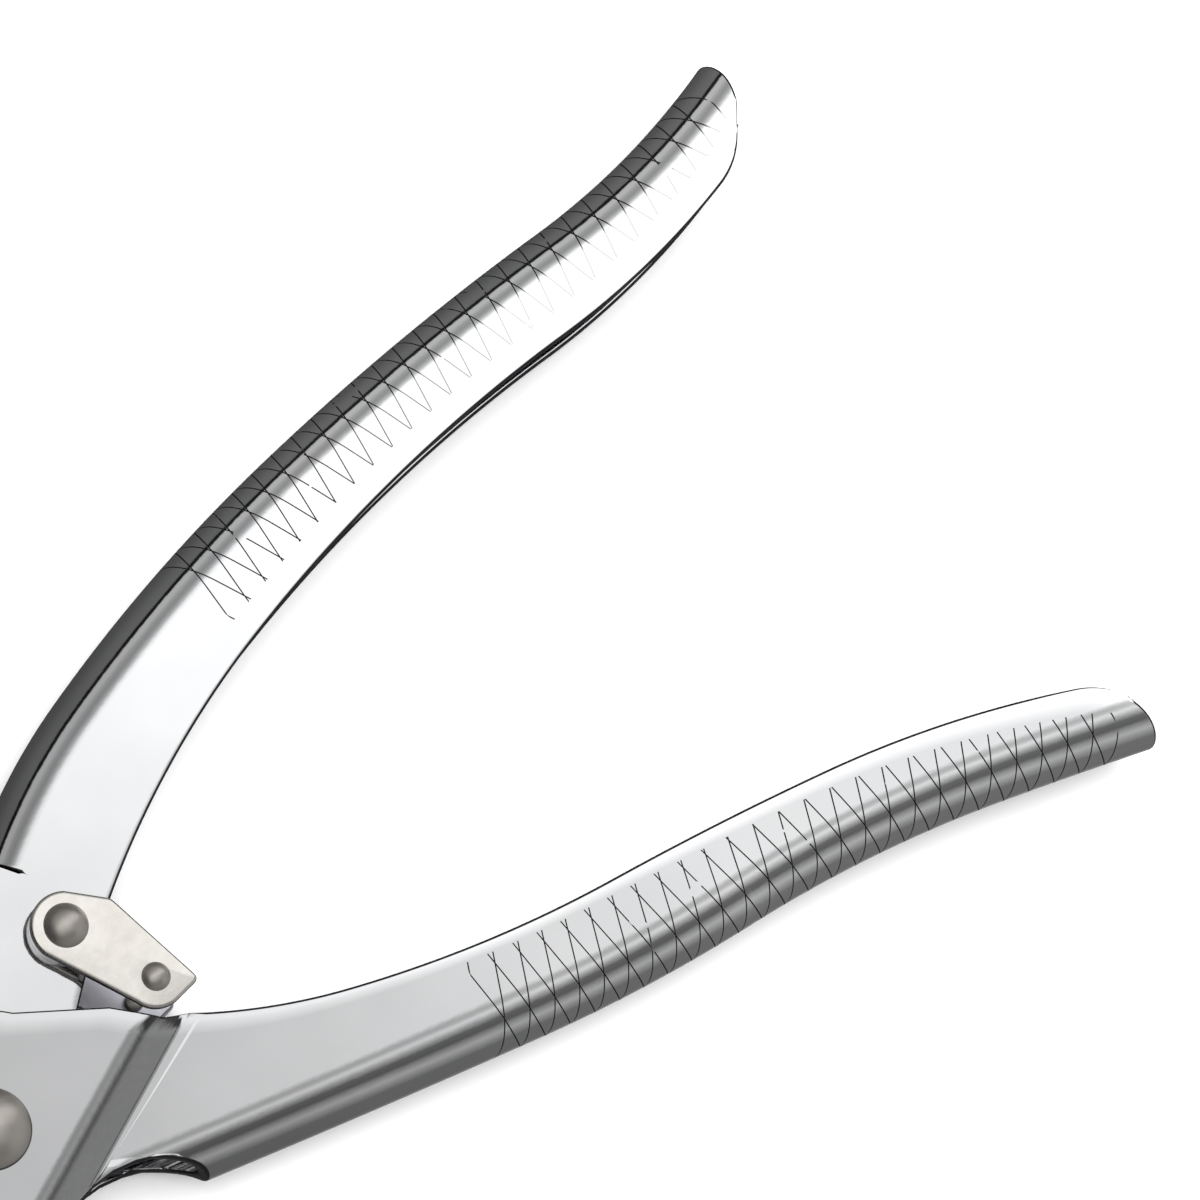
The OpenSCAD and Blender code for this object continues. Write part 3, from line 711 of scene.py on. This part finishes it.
def plated(name, scored, darker_flats=False):
    """Bright plating on pressed sheet: near mirror, with faint press ripples, cloudy polish, small
    pits and a film that darkens it towards the pivot, and the scored grip pattern where asked, its
    grooves in the bump and their near-black colour painted shade.
    With darker_flats set, its colour is darker on the flats from a few millimetres in from the lip;
    without it the scoring wears off the flats towards the tip."""
    made, shader = material(name)
    tree = made.node_tree
    shader.inputs["Metallic"].default_value = 1.0
    pits = ramp(tree, noise(tree, 1500, 2), [(0.0, 0.0), (0.27, 0.0), (0.33, 1.0)])
    tint = mixed(tree, noise(tree, 45, 3), (0.86, 0.87, 0.885), (0.93, 0.93, 0.935))
    place = add(tree, "ShaderNodeTexCoord")
    reach = tree.nodes.new("ShaderNodeVectorMath")
    reach.operation = "LENGTH"
    tree.links.new(place.outputs["Object"], reach.inputs[0])
    cloudy = math_node(tree, "MULTIPLY_ADD", noise(tree, 70, 5), 0.035)
    tree.links.new(reach.outputs["Value"], cloudy.node.inputs[2])
    film = ramp(tree, cloudy, [(0.0, 0.60), (0.03, 0.62), (0.05, 0.70), (0.08, 0.84), (0.12, 1.0)])
    tint = multiplied(tree, tint, film)
    peel = math_node(tree, "MULTIPLY", noise(tree, 900, 2), 0.30)
    height = math_node(tree, "ADD", math_node(tree, "MULTIPLY_ADD", noise(tree, 120, 3), 0.9),
                       math_node(tree, "MULTIPLY", pits, 0.04))
    tree.links.new(peel, height.node.inputs[0].links[0].from_node.inputs[2])
    rough = math_node(tree, "MULTIPLY_ADD", noise(tree, 90, 5, distortion=1.0), 0.07)
    rough.node.inputs[2].default_value = 0.03
    if scored:
        x, y, off_lip, left = grip_places(tree)
        line = score_lines(tree, x, y, off_lip, left)
        on_roll = ramp(tree, math_node(tree, "DIVIDE", math_node(tree, "ABSOLUTE", y), 20.0),
                       [(0.40, 1.0), (0.47, 0.0)])
        if darker_flats:
            # Colour darker on the flats from a few millimetres in from the lip, not on the roll
            flat = ramp(tree, math_node(tree, "DIVIDE", off_lip, 10.0), [(0.08, 1.0), (0.32, 0.68)])
            tint = multiplied(tree, tint, mixed(tree, on_roll, flat, (1.0, 1.0, 1.0)))
        else:
            worn = ramp(tree, math_node(tree, "DIVIDE", x, 90.0), [(0.2, 1.0), (0.6, 0.3)])
            line = math_node(tree, "MULTIPLY", line, math_node(tree, "MAXIMUM", worn, on_roll))
        # The scored lines' near-black colour is painted shade in the grooves; the grooves themselves
        # are the bump below
        tint = mixed(tree, line, tint, (0.03, 0.03, 0.032))
        height = math_node(tree, "SUBTRACT", height, math_node(tree, "MULTIPLY", line, 0.5))
        rough = math_node(tree, "ADD", rough, math_node(tree, "MULTIPLY", line, 0.4))
    tree.links.new(tint, shader.inputs["Base Color"])
    tree.links.new(rough, shader.inputs["Roughness"])
    bump(tree, shader, height, 0.25, 0.00012)
    return made


def satin(name, dark, light, rough, grain, depth):
    """Satin metal: cloudy colour between two tones, fine tumbled grain and a few pits."""
    made, shader = material(name)
    tree = made.node_tree
    shader.inputs["Metallic"].default_value = 1.0
    tree.links.new(mixed(tree, noise(tree, 160, 6), dark, light), shader.inputs["Base Color"])
    tree.links.new(ramp(tree, noise(tree, 700, 5), [(0.2, rough - 0.07), (0.8, rough + 0.09)]),
                   shader.inputs["Roughness"])
    bump(tree, shader, noise(tree, grain, 6), 0.35, depth)
    return made


def cut_steel(name, tone, turn):
    """Milled steel: fine straight cutter marks on a dull grey ground."""
    made, shader = material(name)
    tree = made.node_tree
    shader.inputs["Metallic"].default_value = 1.0
    marks = noise(tree, 300, 6, stretch=(1, 14, 1), turn=turn)
    dark, light = tuple(0.75 * v for v in tone), tuple(min(1, 1.2 * v) for v in tone)
    tree.links.new(mixed(tree, marks, dark, light), shader.inputs["Base Color"])
    tree.links.new(ramp(tree, marks, [(0.2, 0.28), (0.8, 0.46)]), shader.inputs["Roughness"])
    bump(tree, shader, marks, 0.3, 0.00006)
    return made


plated_outer = plated("plated_sheet_outer", True, darker_flats=True)
plated_inner = plated("plated_sheet_inner", True)
plated_inside = plated("plated_sheet_inside", False)
nickel = satin("satin_nickel_plate", (0.66, 0.63, 0.58), (0.80, 0.78, 0.74), 0.26, 1400, 0.00003)
rivet_metal = satin("satin_rivet", (0.46, 0.43, 0.39), (0.60, 0.57, 0.53), 0.42, 1800, 0.00003)
plain_metal = satin("plain_turned_steel", (0.55, 0.55, 0.56), (0.70, 0.70, 0.71), 0.25, 1200,
                    0.00002)
# The rear plate's nickel: the front's satin nickel, tinted lavender as painted shade
painted_shade_nickel = satin("satin_nickel_rear_painted_shade", (0.70, 0.70, 0.77), (0.82, 0.82, 0.88), 0.35, 1400,
                      0.00003)
# Sheared edges of sheet and plates: dull metal whose near-black colour is painted shade along the
# edges
sheared_edge_painted_shade = satin("sheared_sheet_edge_painted_shade", (0.03, 0.03, 0.035), (0.09, 0.09, 0.095), 0.5, 900,
                     0.00004)
jaw_metal = cut_steel("milled_jaw_steel", (0.42, 0.42, 0.43), 30)
spring_metal = satin("drawn_spring_wire", (0.22, 0.22, 0.24), (0.34, 0.34, 0.36), 0.32, 2500,
                     0.00002)

# ---- the pieces ----
pressed_handle("outer_handle_pressing", OUTER, outer_wall_lines, on_outer, CHEEK_OUT,
               joggle_height, "outer_side", "outer_handle", plated_outer)
pressed_handle("inner_handle_pressing", INNER, inner_wall_lines, on_inner, HALF_W,
               lambda plan: np.full(plan.shape[:2], HALF_W), "inner_side", "inner_handle",
               plated_inner)

disc_edge, foot = 0.35, -MID_Z
turned("main_rivet", (0.0, 0.0), np.concatenate([
    [[0, foot]], softened([[0, foot], [MAIN_DISC_R, foot], [MAIN_DISC_R, MAIN_DISC_TOP],
                           [MAIN_R, MAIN_DISC_TOP], [MAIN_R, MAIN_SHANK_TOP]], disc_edge)[1:],
    dome(MAIN_DOME_R, MAIN_DOME_H, CHEEK_OUT)]),
       "outer_side", rivet_metal, ["main_pivot_rivet"], 96)

# The rear plate takes the nickel tinted as painted shade
for side, label, metal, head_h in ((1, "front", nickel, STUD_DOME_H),
                                   (-1, "rear", painted_shade_nickel, REAR_HEAD_H)):
    z0, z1 = sorted((side * PLATE_Z, side * PLATE_TOP))
    # The plate's side takes the sheared edge, its near-black colour painted shade
    plate(f"{label}_catch_plate", catch_outline(), z0, z1, PLATE_EDGE, "catch",
          [metal, sheared_edge_painted_shade], [f"latch_{label}_plate"])
    stud = np.concatenate([[[0, STUD_FOOT], [STUD_R - STUD_CHAMFER, STUD_FOOT],
                            [STUD_R, STUD_FOOT + STUD_CHAMFER], [STUD_R, PLATE_TOP - HEAD_SINK]],
                           dome(STUD_DOME_R, head_h, PLATE_TOP)])
    turned(f"{label}_catch_stud", STUD_POS, stud * [1, side], "catch", rivet_metal,
           [f"latch_{label}_catch"])
shank_end = PLATE_TOP - HEAD_SINK
turned("catch_pivot_rivet", CATCH_POS, np.concatenate([
    dome(CATCH_DOME_R, REAR_HEAD_H, PLATE_TOP)[::-1] * [1, -1],
    [[CATCH_PIN_R, -shank_end], [CATCH_PIN_R, shank_end]],
    dome(CATCH_DOME_R, CATCH_DOME_H, PLATE_TOP)]),
       "catch", rivet_metal, ["latch_pivot_rivet"], 80)


def finished(metal, *nodes):
    """Gives its metal to each part whose shape is kept as it is."""
    for node in nodes:
        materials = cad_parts[node].data.materials
        materials.clear()
        materials.append(metal)


finished(jaw_metal, "outer_jaw_insert", "inner_jaw_insert")
finished(spring_metal, "return_spring", "spring_inner_leg")
finished(plain_metal, "pivot_washer", "pivot_spacer_tube", "opening_stop_pin",
         "latch_front_spacer", "latch_rear_spacer", "latch_pivot_tube", "outer_jaw_rivets",
         "inner_jaw_rivets")

# ---- camera, floor and light ----
# The camera's place is worked out on level axes that are turned by VIEW_TURN about the pivot
VIEW_TURN = 37.0
LEAN = np.array([-0.205, -0.239, 1.0])
LOOK_AT = np.array([73.042, 67.275, 6.0])
DISTANCE, LENS = 1153.24, 288.31


def from_view(v):
    """A vector from the camera's level axes to the tool's axes."""
    c, s = math.cos(math.radians(VIEW_TURN)), math.sin(math.radians(VIEW_TURN))
    return np.array([v[0] * c + v[1] * s, v[1] * c - v[0] * s, v[2]])


def make_camera():
    """A long lens a little below and left of straight above."""
    back = LEAN / np.linalg.norm(LEAN)
    right = np.cross([0, 1, 0], back)
    right /= np.linalg.norm(right)
    up = np.cross(back, right)
    lens = bpy.data.cameras.new("camera")
    lens.lens, lens.sensor_width, lens.clip_end = LENS, 36.0, 50.0
    eye = bpy.data.objects.new("camera", lens)
    bpy.context.scene.collection.objects.link(eye)
    place = from_view(LOOK_AT + back * DISTANCE) + [0, 0, MID_Z]
    axes = np.array([from_view(v) for v in (right, up, back)]).T
    eye.matrix_world = Matrix.Translation(place * MM) @ Matrix(axes.tolist()).to_4x4()
    bpy.context.scene.camera = eye


def make_floor():
    """A wide pale floor under the tool."""
    size = 3.0
    mesh = bpy.data.meshes.new("floor")
    mesh.from_pydata([(-size, -size, 0), (size, -size, 0), (size, size, 0), (-size, size, 0)],
                     [], [(0, 1, 2, 3)])
    floor = bpy.data.objects.new("floor", mesh)
    bpy.context.scene.collection.objects.link(floor)
    made, shader = material("pale_floor")
    shader.inputs["Base Color"].default_value = (0.93, 0.93, 0.93, 1)
    shader.inputs["Roughness"].default_value = 0.9
    mesh.materials.append(made)
    floor.visible_glossy = False


# Brightness of the surroundings by the angle in degrees from straight up towards SIDEWAYS. The
# near strips hold in directions that point mostly LENGTHWAYS, the far ones elsewhere.
SIDEWAYS, LENGTHWAYS = (0.61, -0.79, 0), (0.91, 0.42, 0)
FAR_STRIPS = [
    (-180, 0.07), (-150, 0.075), (-120, 0.095), (-97, 0.13), (-82, 0.145), (-77, 0.12),
    (-76, 0.01), (-69, 0.01), (-67, 0.5), (-58, 0.5), (-50, 0.36), (-42, 0.3), (-36, 0.4),
    (-31, 0.6), (-25, 1.1), (-18, 1.3), (0, 1.3), (7, 0.66), (12, 0.6), (20, 0.85), (31, 0.42),
    (41, 0.14), (53, 0.115), (62, 0.28), (74, 0.44), (88, 0.28), (101, 0.16), (150, 0.15),
    (172, 0.3), (180, 0.07)]
NEAR_STRIPS = [
    (-180, 0.04), (-66, 0.09), (-22, 1.3), (6, 1.3), (14, 0.05), (28, 0.08), (36, 0.42),
    (46, 0.62), (70, 0.5), (170, 0.2), (180, 0.04)]


def make_world():
    """Studio surroundings in long strips: a white canopy overhead, and darker and lighter walls
    towards each side. The strips change from far to near with how far a direction points
    LENGTHWAYS, and the end behind the tool is dark."""
    world = bpy.data.worlds.new("studio")
    world.use_nodes = True
    bpy.context.scene.world = world
    tree = world.node_tree
    where = add(tree, "ShaderNodeTexCoord")
    dots = []
    for direction in (SIDEWAYS, LENGTHWAYS, (0, 0, 1)):
        dot = tree.nodes.new("ShaderNodeVectorMath")
        dot.operation = "DOT_PRODUCT"
        dot.inputs[1].default_value = from_view(direction)
        tree.links.new(where.outputs["Generated"], dot.inputs[0])
        dots.append(dot.outputs["Value"])
    sideways, lengthways, upwards = dots
    angle = math_node(tree, "ARCTAN2", sideways, upwards)
    place = math_node(tree, "MULTIPLY_ADD", angle, 1 / (2 * math.pi))
    place.node.inputs[2].default_value = 0.5
    far, near = (ramp(tree, place, [((degrees + 180) / 360, value) for degrees, value in strips])
                 for strips in (FAR_STRIPS, NEAR_STRIPS))
    shown = mixed(tree, ramp(tree, lengthways, [(0.40, 0.0), (0.58, 1.0)]), far, near)
    behind = ramp(tree, math_node(tree, "MULTIPLY", lengthways, -1.0), [(0.62, 0.0), (0.85, 1.0)])
    shown = mixed(tree, behind, shown, (0.03, 0.03, 0.03))
    tree.links.new(shown, tree.nodes["Background"].inputs["Color"])


def make_lights():
    """A wide soft light straight above, which lights the floor but isn't mirrored."""
    light = bpy.data.lights.new("overhead", "AREA")
    light.shape, light.size, light.energy = "DISK", 2.0, 60.0
    lamp = bpy.data.objects.new("overhead", light)
    lamp.location = (0.05, 0.0, 2.0)
    lamp.visible_glossy = False
    bpy.context.scene.collection.objects.link(lamp)


make_camera()
make_floor()
make_world()
make_lights()
bpy.context.scene.view_settings.view_transform = "Standard"
